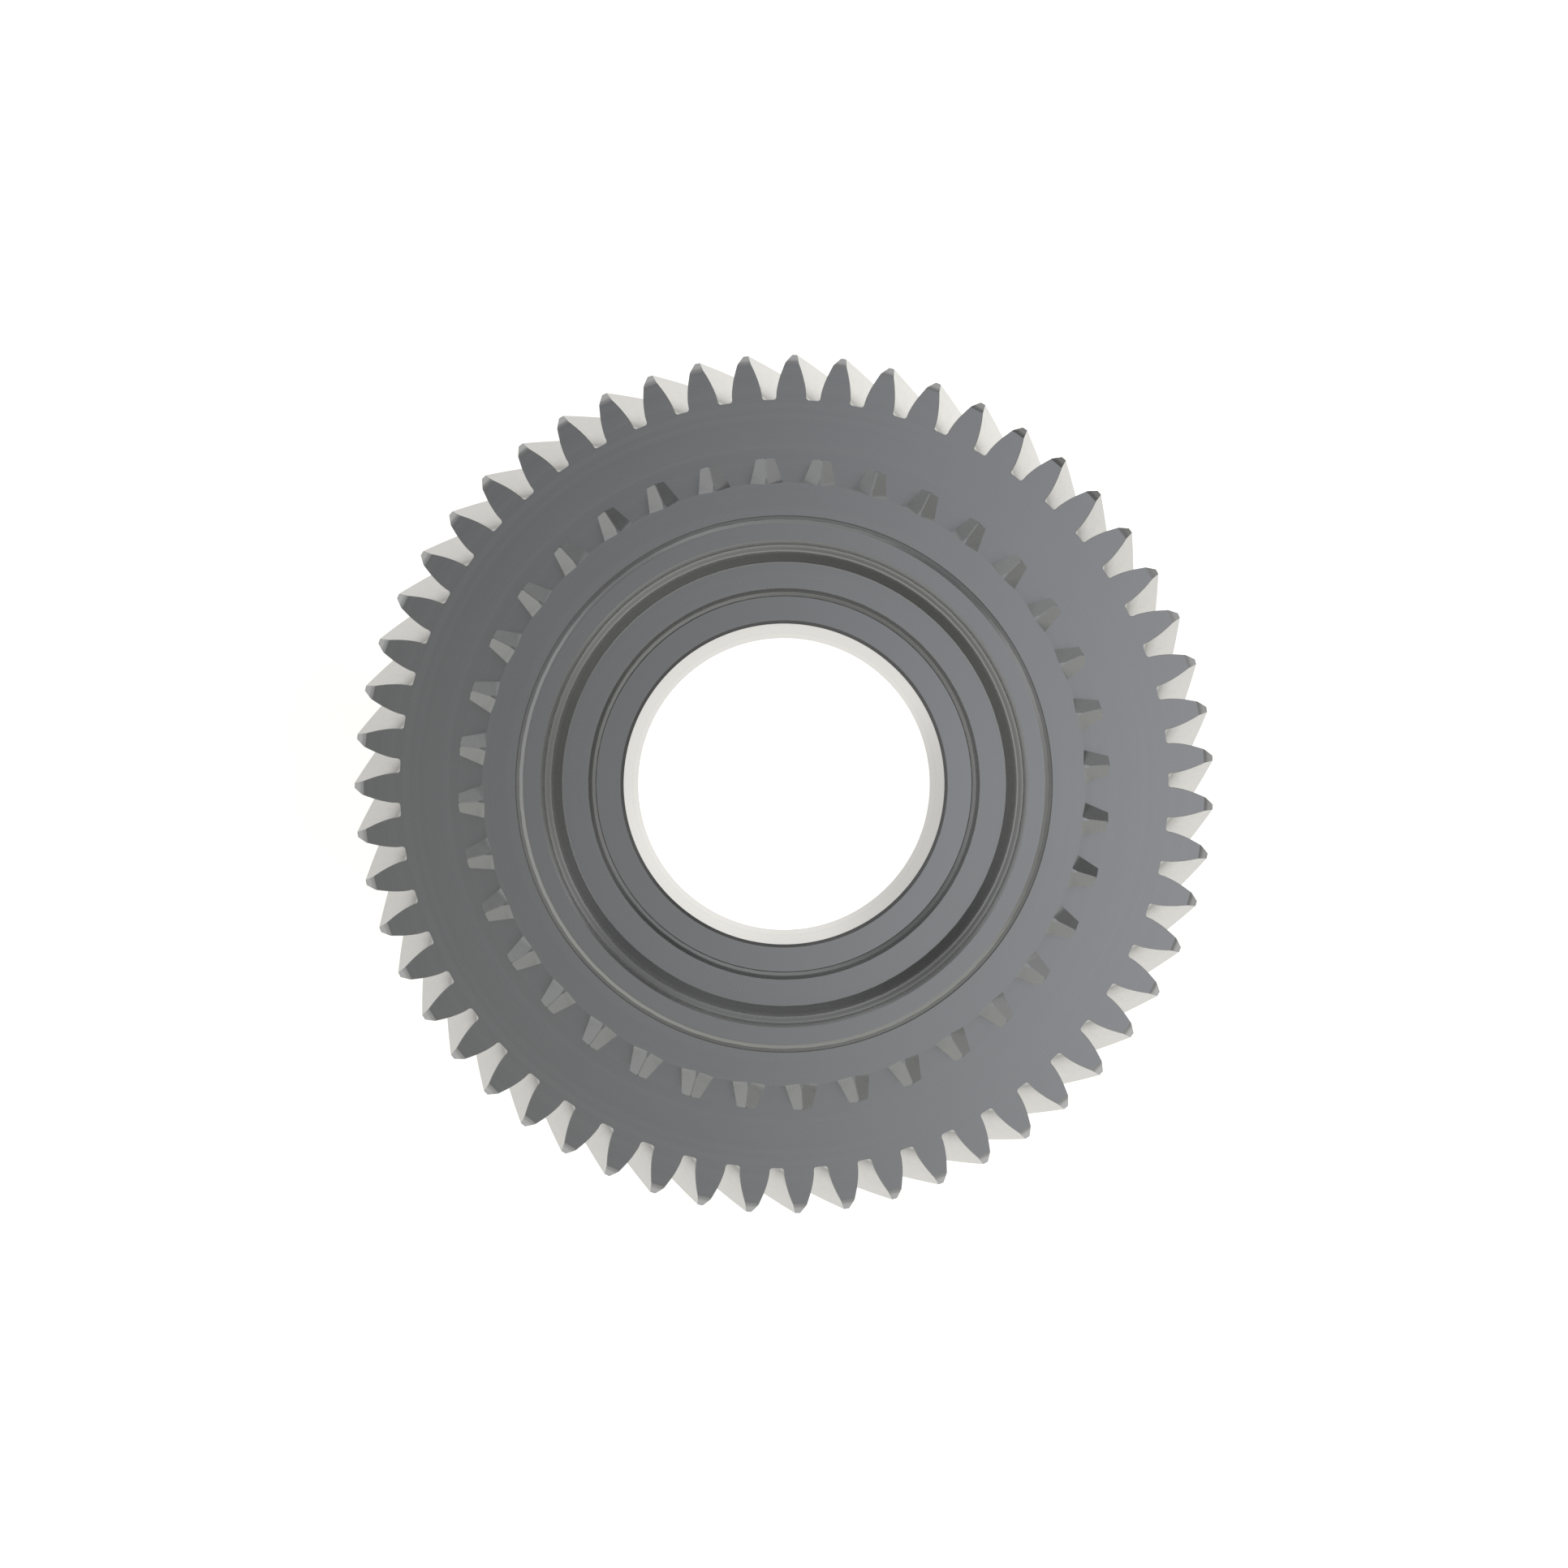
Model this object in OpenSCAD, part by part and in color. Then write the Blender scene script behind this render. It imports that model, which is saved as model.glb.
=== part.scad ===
// Free-running helical gear of a heavy gearbox: a helical gear wheel with a toothed clutch ring
// welded on its spigot, turning on a caged needle bearing around a flanged sleeve.
// The part lies on the back face of its hub at z = 0, and its axis is +Z. Millimetres.

/* [Helical teeth] */
// Number of helical teeth
tooth_count = 55; // [52:1:60]
// Normal module of the teeth
normal_module = 3.5; // [3.45:0.01:3.6]
// Helix angle, right-handed
helix_angle = 15; // [5:1:20]
// Normal pressure angle
pressure_angle = 17; // [16:0.5:20]
// Width of the toothed rim
face_width = 40; // [30:1:44]
// Height of a tooth above the pitch circle
addendum = 5.75; // [4:0.05:5.8]
// Depth of a tooth space below the pitch circle
dedendum = 5.6; // [5:0.1:6]
// Radius of the fillet at the foot of a tooth
foot_fillet = 0.7; // [0.4:0.1:0.8]
// Chamfer at the ends of the tooth tips
tip_chamfer = 2.5; // [1:0.1:3]
// Angle of one tooth centre at the front face
tooth_phase = 3.85; // [0:0.05:6.5]

/* [Hub] */
// Height from the back of the hub to the face of the spigot
total_height = 70; // [68:1:74]
// Height of the front of the toothed rim above the back of the hub
rim_front = 58; // [56:0.5:58]
// Radius of the needle race in the hub
race_outer_r = 47; // [46.9:0.05:47.1]
// Radius of the back boss of the hub
boss_r = 60; // [58:0.5:62]
// Radius of the spigot that carries the clutch ring
spigot_r = 63.5; // [62.5:0.1:64]
// Radius of the mouth of the recess in the spigot
mouth_r = 58.45; // [58.2:0.05:58.7]
// Height of the floor of that recess
ledge_z = 62; // [61:0.5:63]
// Depth of the turned relief in the back of the web
back_recess = 2; // [0.5:0.5:6]

/* [Clutch ring] */
// Number of clutch teeth
clutch_teeth = 36; // [30:1:38]
// Outer radius of the clutch teeth
clutch_tip_r = 78.4; // [77:0.1:79]
// Outer radius of the ring between the clutch teeth
clutch_root_r = 72; // [71:0.1:72.5]
// Half width of a clutch tooth at its root
clutch_half_w = 4.15; // [3.4:0.05:4.4]
// Side taper of a clutch tooth towards its tip
clutch_taper = 16.7; // [10:0.1:20]
// Slope of the two roof faces of a clutch tooth
roof_slope = 38; // [25:1:45]
// Fall of the roof ridge towards the tip
ridge_fall = 12; // [8:1:16]
// Angle of one clutch tooth centre
clutch_phase = 3.315; // [0:0.005:9.995]

/* [Needle bearing and sleeve] */
// Radius of the bore that sits on the shaft
bore_r = 39; // [38:0.1:40]
// Radius of the needle race on the sleeve
race_inner_r = 43; // [42.9:0.05:43.1]
// Number of needles
needle_count = 36; // [24:1:38]
// Running clearance between a needle and each race
needle_gap = 0.15; // [0.12:0.01:0.2]
// Length of a needle
needle_length = 38; // [30:1:42]
// Radius of the front flange of the sleeve
flange_r = 46.5; // [46.2:0.05:46.5]
// Thickness of that flange
flange_t = 4; // [3:0.1:4.5]
// Thickness of the thrust washer
washer_t = 3; // [2:0.1:3.2]
// Opening of the snap ring
snap_gap = 9; // [5:1:14]

/* [Hidden] */
$fn = 120;
overrun = 1;

// helical teeth
transverse_module = normal_module / cos(helix_angle);
pitch_r = transverse_module * tooth_count / 2;
transverse_pressure = atan(tan(pressure_angle) / cos(helix_angle));
base_r = pitch_r * cos(transverse_pressure);
tip_r = pitch_r + addendum;
root_r = pitch_r - dedendum;
rim_back = rim_front - face_width;
rim_inner_r = root_r - 6;
tooth_pitch = 360 / tooth_count;
fillet_steps = 2;
flank_steps = 5;

// hub
hub_chamfer = 0.6;
ledge_r = mouth_r - 4.65;
lip_r = race_outer_r - 0.25;
lip_t = 3;
lip_chamfer = 0.8;
mouth_chamfer = 0.8;
spigot_chamfer = 0.6;
spigot_slope_w = 0.25;
spigot_slope_h = 0.1;
seat_r = 52;
seat_z = 7.2;
draft = 1.5;

// clutch ring
clutch_front = total_height - 0.5;
clutch_inner_chamfer = 0.9;
clutch_tip_chamfer = 0.45;
ridge_flat = 1.45;
clutch_pitch = 360 / clutch_teeth;
clutch_outer_drop = (clutch_tip_r - clutch_root_r - ridge_flat) * tan(ridge_fall);

// bearing and sleeve
sleeve_back = 0.5;
sleeve_front = ledge_z;
bore_chamfer = 0.8;
flange_edge = 0.3;
flange_chamfer = 0.45;
flange_land_r = flange_r - 0.55;
needle_r = (race_outer_r - race_inner_r) / 2 - needle_gap;
needle_track_r = (race_outer_r + race_inner_r) / 2;
needle_end = 0.4;
cage_inner_r = race_inner_r + 0.4;
cage_outer_r = race_outer_r - 0.2;
cage_back = seat_z + 0.4;
cage_front = sleeve_front - flange_t - 1;
needle_z = (cage_back + cage_front - needle_length) / 2;
pocket_gap = 0.1;
pocket_w = 2 * (needle_r + pocket_gap);
pocket_depth = cage_outer_r - cage_inner_r + 2 * overrun;
snap_t = 1.9;
snap_z = seat_z - 0.2 - washer_t - snap_t - 0.05;
snap_side_gap = 0.05;
snap_groove_r = race_inner_r - 1.2;
snap_outer_r = race_inner_r + 3;
washer_z = seat_z - 0.2 - washer_t;
washer_inner_r = race_inner_r + 0.1;
washer_outer_r = seat_r - 0.5;
washer_chamfer = 0.4;

function two_digits(n) = n < 10 ? str("0", n) : str(n);
function needle_name(n) = str("needle_", two_digits(n));

// Involute of an angle in degrees, given in degrees
function involute(a) = tan(a) * 180 / PI - a;

// Half the angle that a tooth takes up at radius r
function half_tooth(r) =
    90 / tooth_count + involute(transverse_pressure) - involute(acos(base_r / max(r, base_r)));

// One side of a tooth from its foot to its tip, as pairs of radius and half angle
function tooth_side(tip) =
    let (
        start_r = root_r + foot_fillet,
        foot = half_tooth(base_r),
        fillet_deg = foot_fillet / start_r * 180 / PI)
    concat(
        [for (i = [0:fillet_steps]) let (a = 90 * i / fillet_steps)
            [start_r - foot_fillet * cos(a), foot + fillet_deg * (1 - sin(a))]],
        [for (i = [1:flank_steps]) let (r = start_r + (tip - start_r) * i / flank_steps) [r, half_tooth(r)]]);

// Turn of the helix between the front of the rim and height z
function helix_turn(z) = (z - rim_front) * tan(helix_angle) / pitch_r * 180 / PI;

// The closed outline of all teeth at height z
function tooth_outline(z, tip) =
    let (side = tooth_side(tip), last = len(side) - 1)
    [for (k = [0:tooth_count - 1]) let (centre = tooth_phase + k * tooth_pitch + helix_turn(z))
        for (s = [-1, 1]) for (i = [0:last])
            let (p = side[s < 0 ? i : last - i], a = centre + s * p[1])
            [p[0] * cos(a), p[0] * sin(a), z]];

// A solid bounded by helical tooth flanks, longer than the wheel at both ends
module toothed_prism() {
    middle = (rim_back + rim_front) / 2;
    levels = [-overrun, rim_back - overrun, middle, rim_front + overrun, total_height + overrun];
    top = len(levels) - 1;
    outline_n = tooth_count * 2 * (fillet_steps + flank_steps + 1);
    points = [for (z = levels) each tooth_outline(z, tip_r + overrun)];
    polyhedron(points, concat(
        [[for (i = [0:outline_n - 1]) i]],
        [[for (i = [outline_n - 1:-1:0]) top * outline_n + i]],
        [for (l = [0:top - 1]) for (i = [0:outline_n - 1])
            let (j = (i + 1) % outline_n, lo = l * outline_n, hi = lo + outline_n)
            each [[lo + i, hi + i, hi + j], [lo + i, hi + j, lo + j]]]),
        convexity = 10);
}

// The turned wheel before its teeth are cut
module wheel_blank() {
    rotate_extrude()
        polygon([
            [race_outer_r, seat_z], [seat_r, seat_z], [seat_r, hub_chamfer], [seat_r + hub_chamfer, 0],
            [boss_r - 2 * hub_chamfer, 0], [boss_r, 2 * hub_chamfer],
            [boss_r, rim_back + back_recess], [boss_r + draft, rim_back + back_recess],
            [rim_inner_r - draft, rim_back + back_recess], [rim_inner_r, rim_back + hub_chamfer],
            [rim_inner_r + hub_chamfer, rim_back],
            [tip_r - tip_chamfer, rim_back], [tip_r, rim_back + tip_chamfer],
            [tip_r, rim_front - tip_chamfer], [tip_r - tip_chamfer, rim_front],
            [spigot_r, rim_front], [spigot_r, total_height - spigot_chamfer - spigot_slope_h],
            [spigot_r - spigot_slope_w, total_height - spigot_chamfer],
            [spigot_r - spigot_slope_w - spigot_chamfer, total_height],
            [mouth_r, total_height], [mouth_r - mouth_chamfer, total_height - mouth_chamfer],
            [mouth_r - 1.05, total_height - 1.2], [mouth_r - 2.35, total_height - 1.85],
            [mouth_r - 2.75, total_height - 2.25], [mouth_r - 3, total_height - 2.65],
            [mouth_r - 3.15, total_height - 3.1],
            [ledge_r, ledge_z], [lip_r + lip_chamfer, ledge_z], [lip_r, ledge_z - lip_chamfer],
            [lip_r, ledge_z - lip_t], [race_outer_r, ledge_z - lip_t - 0.25]]);
}

module gear_wheel() {
    color([0.52, 0.53, 0.55])
        intersection() {
            wheel_blank();
            toothed_prism();
        }
}

// A half space that cuts one roof face of a clutch tooth, side = -1 or 1
module roof_cut(side) {
    size = 20;
    translate([clutch_root_r + ridge_flat, 0, clutch_front])
        rotate([0, ridge_fall, 0])
            rotate([side * -roof_slope, 0, 0])
                translate([-size, side > 0 ? -size / 8 : -size, 0])
                    cube([2 * size, size * 9 / 8, size]);
}

// A clutch tooth pointed like a roof
module clutch_tooth() {
    foot_r = clutch_root_r - 1.5;
    foot_w = clutch_half_w + (clutch_root_r - foot_r) * tan(clutch_taper);
    end_r = clutch_tip_r + overrun;
    end_w = clutch_half_w - (end_r - clutch_root_r) * tan(clutch_taper);
    difference() {
        translate([0, 0, rim_front])
            linear_extrude(clutch_front - rim_front)
                polygon([[foot_r, -foot_w], [end_r, -end_w], [end_r, end_w], [foot_r, foot_w]]);
        roof_cut(1);
        roof_cut(-1);
    }
}

module clutch_ring() {
    core_r = clutch_root_r - 2;
    tip_z = clutch_front - clutch_outer_drop;
    rise = 2;
    color([0.50, 0.51, 0.52])
        rotate(clutch_phase + clutch_pitch / 2) {
            rotate_extrude()
                polygon([
                    [spigot_r, rim_front], [clutch_root_r, rim_front], [clutch_root_r, clutch_front],
                    [spigot_r + clutch_inner_chamfer, clutch_front],
                    [spigot_r, clutch_front - clutch_inner_chamfer]]);
            intersection() {
                for (k = [1:clutch_teeth])
                    rotate((k - 0.5) * clutch_pitch)
                        clutch_tooth();
                rotate_extrude()
                    polygon([
                        [core_r, rim_front], [clutch_tip_r, rim_front],
                        [clutch_tip_r, tip_z - clutch_tip_chamfer],
                        [clutch_tip_r - clutch_tip_chamfer - rise, tip_z + rise],
                        [core_r, tip_z + 2 * rise]]);
            }
        }
}

// The weld at the bottom of the groove between the spigot and the clutch ring
module weld_seam() {
    bottom = clutch_front - clutch_inner_chamfer;
    bead = 0.45;
    color([0.38, 0.38, 0.38])
        rotate_extrude()
            polygon([
                [spigot_r, bottom], [spigot_r + bead, bottom + bead],
                [spigot_r, total_height - spigot_chamfer - spigot_slope_h]]);
}

module bearing_sleeve() {
    groove_bottom = snap_z - snap_side_gap;
    groove_top = snap_z + snap_t + snap_side_gap;
    color([0.62, 0.62, 0.63])
        rotate_extrude()
            polygon([
                [bore_r + bore_chamfer, sleeve_back], [race_inner_r - flange_edge, sleeve_back],
                [race_inner_r, sleeve_back + flange_edge],
                [race_inner_r, groove_bottom], [snap_groove_r, groove_bottom],
                [snap_groove_r, groove_top], [race_inner_r, groove_top],
                [race_inner_r, sleeve_front - flange_t], [flange_r, sleeve_front - flange_t],
                [flange_r, sleeve_front - flange_chamfer - flange_edge],
                [flange_r - flange_edge / 2, sleeve_front - flange_chamfer - flange_edge / 2],
                [flange_land_r, sleeve_front - flange_chamfer],
                [flange_land_r - flange_chamfer, sleeve_front],
                [bore_r + bore_chamfer, sleeve_front], [bore_r, sleeve_front - bore_chamfer],
                [bore_r, sleeve_back + bore_chamfer]]);
}

module thrust_washer() {
    color([0.72, 0.60, 0.35])
        rotate_extrude()
            polygon([
                [washer_inner_r, washer_z], [washer_outer_r - washer_chamfer, washer_z],
                [washer_outer_r, washer_z + washer_chamfer],
                [washer_outer_r, washer_z + washer_t - washer_chamfer],
                [washer_outer_r - washer_chamfer, washer_z + washer_t],
                [washer_inner_r, washer_z + washer_t]]);
}

module snap_ring() {
    color([0.25, 0.25, 0.27])
        translate([0, 0, snap_z])
            difference() {
                cylinder(h = snap_t, r = snap_outer_r);
                translate([0, 0, -overrun])
                    cylinder(h = snap_t + 2 * overrun, r = snap_groove_r + 0.1);
                translate([0, -snap_gap / 2, -overrun])
                    cube([snap_outer_r + overrun, snap_gap, snap_t + 2 * overrun]);
            }
}

module needle_cage() {
    color([0.55, 0.50, 0.40])
        difference() {
            translate([0, 0, cage_back])
                cylinder(h = cage_front - cage_back, r = cage_outer_r);
            translate([0, 0, cage_back - overrun])
                cylinder(h = cage_front - cage_back + 2 * overrun, r = cage_inner_r);
            for (n = [1:needle_count])
                rotate(n * 360 / needle_count)
                    translate([cage_inner_r - overrun, -pocket_w / 2, needle_z - pocket_gap])
                        cube([pocket_depth, pocket_w, needle_length + 2 * pocket_gap]);
        }
}

// A needle with crowned ends, number n around the cage
module needle(n) {
    color([0.80, 0.80, 0.82])
        rotate(n * 360 / needle_count)
            translate([needle_track_r, 0, needle_z])
                rotate_extrude()
                    polygon([
                        [0, 0], [needle_r - needle_end, 0], [needle_r, needle_end],
                        [needle_r, needle_length - needle_end], [needle_r - needle_end, needle_length],
                        [0, needle_length]]);
}

gear_wheel();
clutch_ring();
weld_seam();
bearing_sleeve();
thrust_washer();
snap_ring();
needle_cage();
for (n = [1:needle_count])
    needle(n);
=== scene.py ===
import math
from collections import namedtuple

import bpy
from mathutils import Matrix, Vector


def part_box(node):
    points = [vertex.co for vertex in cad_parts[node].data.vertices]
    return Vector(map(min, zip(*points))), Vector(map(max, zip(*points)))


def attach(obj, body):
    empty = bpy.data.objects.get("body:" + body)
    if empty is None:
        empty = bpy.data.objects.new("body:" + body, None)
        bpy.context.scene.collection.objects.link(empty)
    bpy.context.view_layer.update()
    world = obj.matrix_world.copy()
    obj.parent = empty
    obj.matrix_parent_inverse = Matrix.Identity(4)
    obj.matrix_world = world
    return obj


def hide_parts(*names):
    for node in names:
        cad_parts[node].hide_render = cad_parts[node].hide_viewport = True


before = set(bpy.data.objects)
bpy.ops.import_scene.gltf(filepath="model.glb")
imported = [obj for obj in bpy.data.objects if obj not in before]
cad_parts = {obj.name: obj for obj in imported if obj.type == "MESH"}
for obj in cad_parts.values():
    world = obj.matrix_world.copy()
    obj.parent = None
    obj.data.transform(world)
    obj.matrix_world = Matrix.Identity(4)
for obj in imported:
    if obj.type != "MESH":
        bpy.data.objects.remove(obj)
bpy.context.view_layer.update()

# ------------------------------------------------------------------ sizes
# Lengths are in millimetres until a mesh is made. The heights and radii that the CAD model fixes
# come from the boxes of its nodes.

MM = 0.001
TAU = 2 * math.pi

gear_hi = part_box("gear_wheel")[1]
ring_lo, ring_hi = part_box("clutch_ring")
sleeve_lo, sleeve_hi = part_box("bearing_sleeve")
washer_lo, washer_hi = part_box("thrust_washer")
snap_lo, snap_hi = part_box("snap_ring")
cage_lo, cage_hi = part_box("needle_cage")
needle_lo, needle_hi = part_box("needle_36")
seam_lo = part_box("weld_seam")[0]

# helical teeth
TOOTH_COUNT = 55
NORMAL_MODULE = 3.5
HELIX = math.radians(15)
NORMAL_PRESSURE = math.radians(17)
TOOTH_PITCH = TAU / TOOTH_COUNT
PITCH_R = NORMAL_MODULE / math.cos(HELIX) * TOOTH_COUNT / 2
TRANSVERSE_PRESSURE = math.atan(math.tan(NORMAL_PRESSURE) / math.cos(HELIX))
BASE_R = PITCH_R * math.cos(TRANSVERSE_PRESSURE)
ADDENDUM = 5.75
DEDENDUM = 5.6
TIP_R = PITCH_R + ADDENDUM
ROOT_R = PITCH_R - DEDENDUM
FOOT_FILLET = 0.7
TIP_CHAMFER = 2.5
TOOTH_PHASE = math.radians(3.85)
EDGE_BREAK = 0.12
FILLET_STEPS = 5
FLANK_STEPS = 10

# rim; the turned hub meets the flat faces round the teeth at BLEND_R
FACE_WIDTH = 40
RIM_T = 6
BLEND_W = 4
RELIEF_DEPTH = 2
TOP_Z = gear_hi.z / MM
RIM_FRONT = ring_lo.z / MM
RIM_BACK = RIM_FRONT - FACE_WIDTH
RIM_INNER_R = ROOT_R - RIM_T
BLEND_R = ROOT_R - BLEND_W

# hub; the ledge round the sleeve stands a little higher than the CAD sleeve's front
CAD_SEAM_W = 0.45
LEDGE_RISE = 0.6
SEAT_GAP_R = 0.5
SEAT_GAP_Z = 0.2
RACE_OUTER_R = 47.0
BOSS_R = 60.0
SPIGOT_R = seam_lo.x / -MM - CAD_SEAM_W
SPIGOT_EDGE_DEPTH = 0.65
MOUTH_R = 58.45
LIP_R = 45.79
LIP_STEP_R = 46.55
LIP_EDGE_R = 47.5
LIP_FACET_DEPTH = 1.418
LIP_DEPTH = 3
LIP_BACK_DEPTH = 4.2
LEDGE_Z = sleeve_hi.z / MM + LEDGE_RISE
SEAT_R = washer_hi.x / MM + SEAT_GAP_R
SEAT_Z = washer_hi.z / MM + SEAT_GAP_Z

# Outlines that run on from a corner of the hub: change of radius, change of height, size of the
# broken edge. A point close to an edge keeps the shading of the flat beside it even.
SPIGOT_EDGE = ((0.0, -SPIGOT_EDGE_DEPTH, 0), (-0.12, -0.59, 0), (-0.84, -0.06, 0), (-0.92, -0.02, 0),
               (-1.02, 0.0, 0), (-1.08, 0.0, 0))
MOUTH_EDGE = ((0.1, 0.0, 0), (0.0, 0.0, 0.04), (-0.8, -0.8, 0.05), (-1.05, -1.25, 0.08), (-2.0, -1.68, 0),
              (-2.3, -1.84, 0), (-2.52, -2.02, 0), (-2.68, -2.22, 0), (-2.8, -2.46, 0), (-2.9, -2.76, 0),
              (-3.0, -3.12, 0), (-3.1, -3.4, 0.03))
MOUTH_FOOT_IN = 4.65
LIP_STEP = ((0.12, -0.943, 0), (0.0, -1.08, 0.03), (-0.1, -1.124, 0))

# weld
WELD_W = 0.98
WELD_DEPTH = 0.9
WELD_COLUMNS = 1440
RIPPLE = 0.006
RIPPLE_COLUMNS = 6
SWELLS = 37

# clutch ring
CLUTCH_TEETH = 36
CLUTCH_PITCH = TAU / CLUTCH_TEETH
CLUTCH_PHASE = math.radians(3.315)
CLUTCH_DROP = 0.3
CLUTCH_FRONT = ring_hi.z / MM - CLUTCH_DROP
CLUTCH_ROOT_R = 72.0
CLUTCH_TIP_R = 78.4
CLUTCH_HALF_W = 4.15
CLUTCH_TAPER = math.tan(math.radians(16.7))
RIDGE_ANGLE = math.radians(12)
RIDGE_FALL = math.tan(RIDGE_ANGLE)
ROOF_SLOPE = math.tan(math.radians(38)) / math.cos(RIDGE_ANGLE)
RIDGE_SETBACK = 1.45
RIDGE_START = CLUTCH_ROOT_R + RIDGE_SETBACK
RIDGE_HALF_W = 0.11
CLUTCH_TIP_CHAMFER = 0.18
CLUTCH_INNER_CHAMFER = 0.9

# sleeve and bearing
BORE_R = 39.0
RACE_INNER_R = 43.0
FLANGE_R = 45.75
FLANGE_T = 4.0
FLANGE_CHAMFER = 0.15
SLEEVE_DROP = 0.6
SLEEVE_BACK = sleeve_lo.z / MM
SLEEVE_FRONT = sleeve_hi.z / MM - SLEEVE_DROP
BORE_CHAMFER = 0.8
NEEDLE_COUNT = 36

Rim = namedtuple("Rim", "z tip inset")


# ------------------------------------------------------------------ mesh helpers

def make_piece(name, points, faces, body, nodes, sharp_degrees=20.0):
    """An object from points in millimetres, shaded smooth up to an angle, that stands for CAD nodes."""
    mesh = bpy.data.meshes.new(name)
    mesh.from_pydata([(x * MM, y * MM, z * MM) for x, y, z in points], [], faces)
    mesh.validate()
    mesh.polygons.foreach_set("use_smooth", [True] * len(mesh.polygons))
    mesh.set_sharp_from_angle(angle=math.radians(sharp_degrees))
    mesh.update()
    piece = bpy.data.objects.new(name, mesh)
    bpy.context.scene.collection.objects.link(piece)
    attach(piece, body)
    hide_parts(*nodes)
    return piece


def polar(r, angle, z):
    return (r * math.cos(angle), r * math.sin(angle), z)


def broken(profile, size=0.1):
    """A closed (r, z) outline with a small 45 degree break on every corner that has no size of its own.

    A point is (r, z) or (r, z, break size); 0 leaves the corner as it is.
    """
    out = []
    count = len(profile)
    for i, point in enumerate(profile):
        cut = point[2] if len(point) > 2 else size
        here = point[:2]
        if cut == 0:
            out.append(here)
            continue
        for other in (profile[i - 1][:2], profile[(i + 1) % count][:2]):
            length = math.dist(here, other)
            share = min(cut / length, 0.45)
            out.append(tuple(h + (o - h) * share for h, o in zip(here, other)))
    return out


def placed(outline, r, z):
    """An outline of changes, as (r, z, break size), run on from the corner (r, z)."""
    return [(r + dr, z + dz, cut) for dr, dz, cut in outline]


def lathe(profile, columns):
    """Points and faces of a closed (r, z) outline, anticlockwise with r to the right, turned about Z."""
    count = len(profile)
    points = [polar(r, TAU * c / columns, z) for c in range(columns) for r, z in profile]
    faces = []
    for c in range(columns):
        left, right = c * count, (c + 1) % columns * count
        for i in range(count):
            j = (i + 1) % count
            faces.append((left + i, right + i, right + j, left + j))
    return points, faces


# ------------------------------------------------------------------ gear wheel

def involute(angle):
    return math.tan(angle) - angle


def half_tooth(r):
    """Half the angle that a tooth takes up at radius r."""
    rolled = math.acos(BASE_R / max(r, BASE_R))
    return TOOTH_PITCH / 4 + involute(TRANSVERSE_PRESSURE) - involute(rolled)


def tooth_side(tip, inset):
    """One side of a tooth from foot to tip, as pairs of radius and half angle, moved in by inset."""
    start = ROOT_R + FOOT_FILLET
    foot = half_tooth(BASE_R)
    side = []
    for i in range(FILLET_STEPS + 1):
        turn = TAU / 4 * i / FILLET_STEPS
        side.append((start - FOOT_FILLET * math.cos(turn) - inset * math.cos(turn),
                     foot + (FOOT_FILLET * (1 - math.sin(turn)) - inset * math.sin(turn)) / start))
    for i in range(1, FLANK_STEPS + 1):
        share = (i / FLANK_STEPS) ** 1.3
        r = start + (tip - inset - start) * share
        side.append((r, half_tooth(r) - inset / r))
    return side


def helix_turn(z):
    return (z - RIM_FRONT) * math.tan(HELIX) / PITCH_R


def tooth_row(rim):
    """The outline of all teeth at one height."""
    side = tooth_side(rim.tip, rim.inset)
    row = []
    for k in range(TOOTH_COUNT):
        centre = TOOTH_PHASE + k * TOOTH_PITCH + helix_turn(rim.z)
        row += [polar(r, centre - a, rim.z) for r, a in side]
        row += [polar(r, centre + a, rim.z) for r, a in reversed(side)]
    return row


def rim_rows():
    """Heights of the rim from its front to its back, with the tip radius and the inset at each."""
    edge_tip = TIP_R - TIP_CHAMFER
    shoulder = TIP_CHAMFER - EDGE_BREAK
    end = [Rim(0.0, edge_tip, EDGE_BREAK), Rim(EDGE_BREAK, edge_tip + EDGE_BREAK, 0.0),
           Rim(EDGE_BREAK + shoulder / 2, edge_tip + EDGE_BREAK + shoulder / 2, 0.0),
           Rim(TIP_CHAMFER, TIP_R, 0.0)]
    steps = 10
    flat = RIM_FRONT - RIM_BACK - 2 * TIP_CHAMFER
    rows = [rim._replace(z=RIM_FRONT - rim.z) for rim in end]
    rows += [Rim(RIM_FRONT - TIP_CHAMFER - flat * i / steps, TIP_R, 0.0) for i in range(1, steps)]
    rows += [rim._replace(z=RIM_BACK + rim.z) for rim in reversed(end)]
    return rows


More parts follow.
